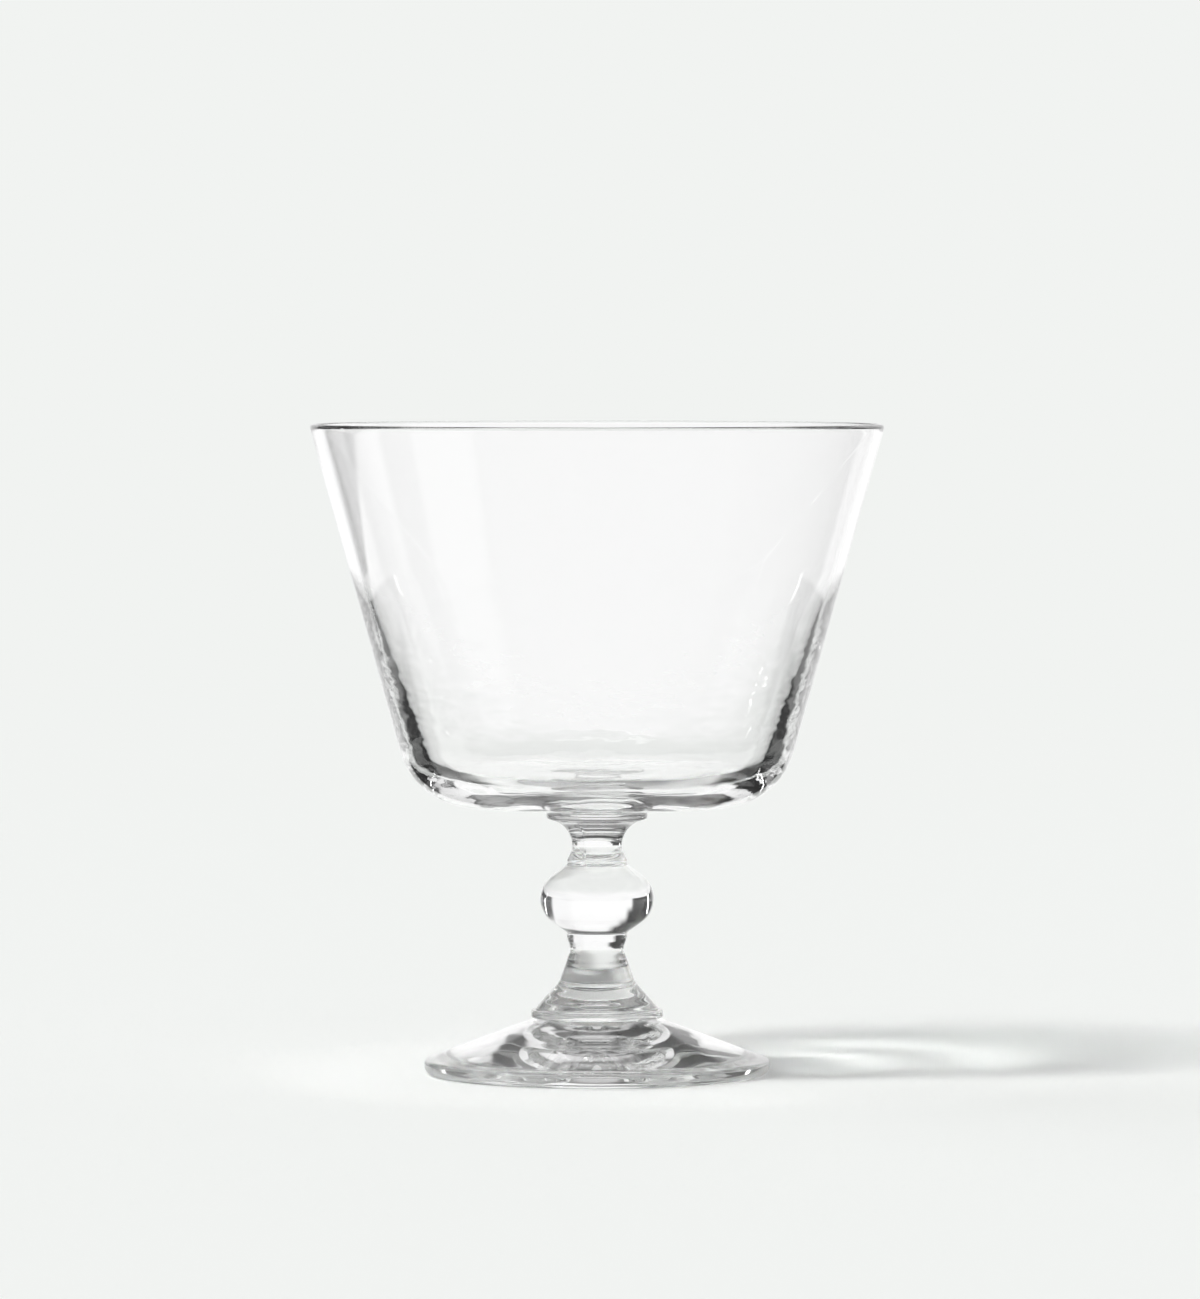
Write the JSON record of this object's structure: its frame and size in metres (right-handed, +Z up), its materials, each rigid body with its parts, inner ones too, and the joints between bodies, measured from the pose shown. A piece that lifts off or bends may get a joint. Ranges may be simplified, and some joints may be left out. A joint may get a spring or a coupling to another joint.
{
  "type": "dessert coupe",
  "caption": "Low stemmed clear glass coupe: a flared round bowl with a thick heel, joined by small glass discs to a short knopped stem and a spreading foot, for desserts or fruit.",
  "frame": {"origin": "middle of the plane the foot rests on", "axes": "+Z up along the glass's axis of revolution; X and Y are alike, and the picture looks along +Y"},
  "size_m": [0.1058, 0.1058, 0.12],
  "materials": {
    "bowl_glass": "clear, colourless, fire polished",
    "collar_glass": "clear, colourless, fire polished",
    "stem_glass": "clear, colourless, pressed and fire polished",
    "foot_glass": "clear, colourless, pressed and fire polished"
  },
  "bodies": {
    "root": {"bowl": "bowl_glass", "upper_collar": "collar_glass", "stem": "stem_glass", "lower_collar": "collar_glass", "foot": "foot_glass"}
  },
  "joints": []
}
